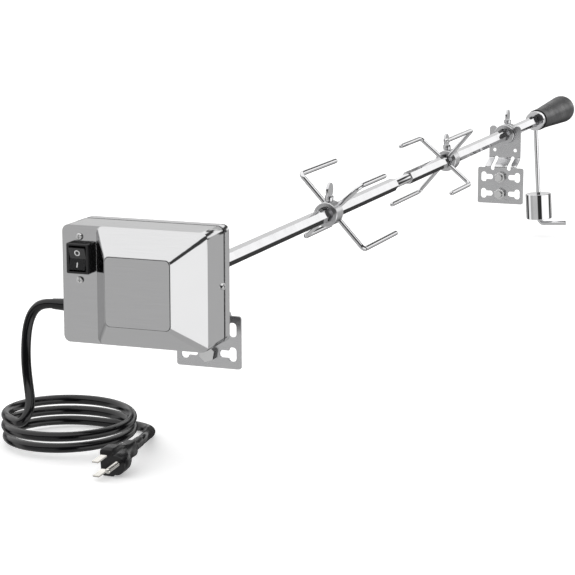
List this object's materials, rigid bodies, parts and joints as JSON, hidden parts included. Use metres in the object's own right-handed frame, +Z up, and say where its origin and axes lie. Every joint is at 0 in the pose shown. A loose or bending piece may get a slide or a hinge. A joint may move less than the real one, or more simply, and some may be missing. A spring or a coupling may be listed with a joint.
{
  "type": "rotisserie spit roaster",
  "caption": "Electric rotisserie spit with boxed gear motor, rocker switch, hexagonal rod, sliding pronged forks, slotted brackets, counterweight, handle and coiled cord.",
  "frame": {"origin": "centre of the four-slot pattern on the rear face of the motor bracket's lower plate", "axes": "+Y along the spit, from the motor towards the handle; +X to the right as seen from the motor's front; +Z up"},
  "size_m": [0.2317, 1.4802, 0.206],
  "materials": {
    "stainless_housing": "satin",
    "polished_rod": "polished",
    "satin_hub": "satin",
    "thumb_screw_steel": "bright plated",
    "mirror_chrome": "mirror",
    "bracket_sheet": "satin",
    "zinc_fastener": "bright zinc",
    "switch_black": "gloss",
    "cord_black": "semi gloss",
    "plug_black": "semi gloss",
    "plug_nickel": "nickel plated",
    "ferrule_black": "gloss",
    "grip_grey": "satin",
    "insert_steel": "machined",
    "gear_steel": "hobbed and oiled",
    "galvanised_plate": "galvanised",
    "copper_winding": "enamelled wire",
    "ferrite_magnet": "ground",
    "bronze_bush": "sintered",
    "terminal_brass": "stamped",
    "wire_insulation": "matte"
  },
  "bodies": {
    "root": {"front_shell": "stainless_housing", "back_pan": "stainless_housing", "side_screws": "zinc_fastener", "switch_bezel": "switch_black", "switch_screws": "zinc_fastener", "switch_terminals": "terminal_brass", "strain_relief": "cord_black", "cord_lead": "cord_black", "cord_coil": "cord_black", "cord_tail": "cord_black", "plug_body": "plug_black", "plug_blades": "plug_nickel", "plug_ground_pin": "plug_nickel", "stator_can": "galvanised_plate", "stator_cap": "galvanised_plate", "stator_winding": "copper_winding", "motor_screws": "zinc_fastener", "gear_plate_front": "galvanised_plate", "gear_plate_rear": "galvanised_plate", "gearbox_pillars": "galvanised_plate", "gearbox_posts": "galvanised_plate", "gear_arbors": "gear_steel", "lead_wires": "wire_insulation", "drive_bush": "bronze_bush", "motor_bracket": "bracket_sheet", "motor_bracket_bolts": "zinc_fastener", "motor_bracket_nuts": "zinc_fastener", "motor_mount_screws": "zinc_fastener", "back_pan_screws": "zinc_fastener"},
    "rocker": {"switch_rocker": "switch_black"},
    "rotor": {"rotor_shaft": "gear_steel", "rotor_magnet": "ferrite_magnet"},
    "first_reduction": {"first_reduction_gear": "gear_steel"},
    "second_reduction": {"second_reduction_gear": "gear_steel"},
    "spit": {"drive_sleeve": "gear_steel", "output_gear": "gear_steel", "spit_rod_drive_half": "polished_rod", "spit_rod_outer_half": "polished_rod"},
    "fork_a": {"fork_a_hub": "satin_hub", "fork_a_prongs": "polished_rod"},
    "fork_a_screw": {"fork_a_thumb_screw": "thumb_screw_steel"},
    "fork_b": {"fork_b_hub": "satin_hub", "fork_b_prongs": "polished_rod"},
    "fork_b_screw": {"fork_b_thumb_screw": "thumb_screw_steel"},
    "far_bracket": {"spit_bracket": "bracket_sheet", "spit_bracket_bolts": "zinc_fastener", "spit_bracket_nuts": "zinc_fastener"},
    "bushing": {"spit_bushing": "satin_hub"},
    "bushing_screw": {"bushing_thumb_screw": "thumb_screw_steel"},
    "arm": {"counterweight_collar": "mirror_chrome", "counterweight_arm": "mirror_chrome"},
    "weight": {"counterweight": "mirror_chrome"},
    "handle": {"handle_ferrule": "ferrule_black", "handle_insert": "insert_steel", "handle_grip": "grip_grey"}
  },
  "joints": [
    {"name": "spit_turn", "type": "hinge", "parent": "root", "child": "spit", "pos_m": [0, 0.278, 0.0655], "axis": [0, 1, 0], "continuous": true},
    {"name": "rotor_turn", "type": "hinge", "parent": "root", "child": "rotor", "pos_m": [-0.0225, -0.082, 0.0587], "axis": [0, 1, 0], "continuous": true},
    {"name": "first_reduction_turn", "type": "hinge", "parent": "root", "child": "first_reduction", "pos_m": [-0.03035, -0.062, 0.07489], "axis": [0, 1, 0], "continuous": true},
    {"name": "second_reduction_turn", "type": "hinge", "parent": "root", "child": "second_reduction", "pos_m": [-0.012, -0.054, 0.0863], "axis": [0, 1, 0], "continuous": true},
    {"name": "switch_rock", "type": "hinge", "parent": "root", "child": "rocker", "pos_m": [-0.0883, -0.0744, 0.0806], "axis": [1, 0, 0], "range_deg": [-9, 9]},
    {"name": "fork_a_slide", "type": "slide", "parent": "spit", "child": "fork_a", "axis": [0, 1, 0], "range_m": [-0.25, 0.125]},
    {"name": "fork_a_screw_turn", "type": "hinge", "parent": "fork_a", "child": "fork_a_screw", "pos_m": [0, 0.3145, 0.0655], "axis": [0.0384, 0, 0.9993], "range_deg": [0, 360]},
    {"name": "fork_b_slide", "type": "slide", "parent": "spit", "child": "fork_b", "axis": [0, 1, 0], "range_m": [-0.06, 0.12]},
    {"name": "fork_b_screw_turn", "type": "hinge", "parent": "fork_b", "child": "fork_b_screw", "pos_m": [0, 0.746, 0.0655], "axis": [-0.0872, 0, 0.9962], "range_deg": [0, 360]},
    {"name": "far_bracket_slide", "type": "slide", "parent": "root", "child": "far_bracket", "axis": [0, 1, 0], "range_m": [-0.1, 0.12]},
    {"name": "bushing_slide", "type": "slide", "parent": "spit", "child": "bushing", "axis": [0, 1, 0], "range_m": [-0.1, 0.12]},
    {"name": "bushing_screw_turn", "type": "hinge", "parent": "bushing", "child": "bushing_screw", "pos_m": [0, 1.0276, 0.0655], "axis": [0, 0, 1], "range_deg": [0, 360]},
    {"name": "counterweight_swing", "type": "hinge", "parent": "spit", "child": "arm", "pos_m": [0, 1.1826, 0.0655], "axis": [0, 1, 0], "continuous": true},
    {"name": "counterweight_slide", "type": "slide", "parent": "arm", "child": "weight", "axis": [-0.0628, 0, 0.998], "range_m": [0, 0.08]},
    {"name": "handle_turn", "type": "hinge", "parent": "spit", "child": "handle", "pos_m": [0, 1.268, 0.0655], "axis": [0, 1, 0], "range_deg": [0, 720]}
  ],
  "couplings": [
    {"joint": "second_reduction_turn", "follows": "spit_turn", "ratio": -4},
    {"joint": "first_reduction_turn", "follows": "spit_turn", "ratio": 20},
    {"joint": "rotor_turn", "follows": "spit_turn", "ratio": -100},
    {"joint": "bushing_slide", "follows": "far_bracket_slide", "ratio": 1}
  ]
}
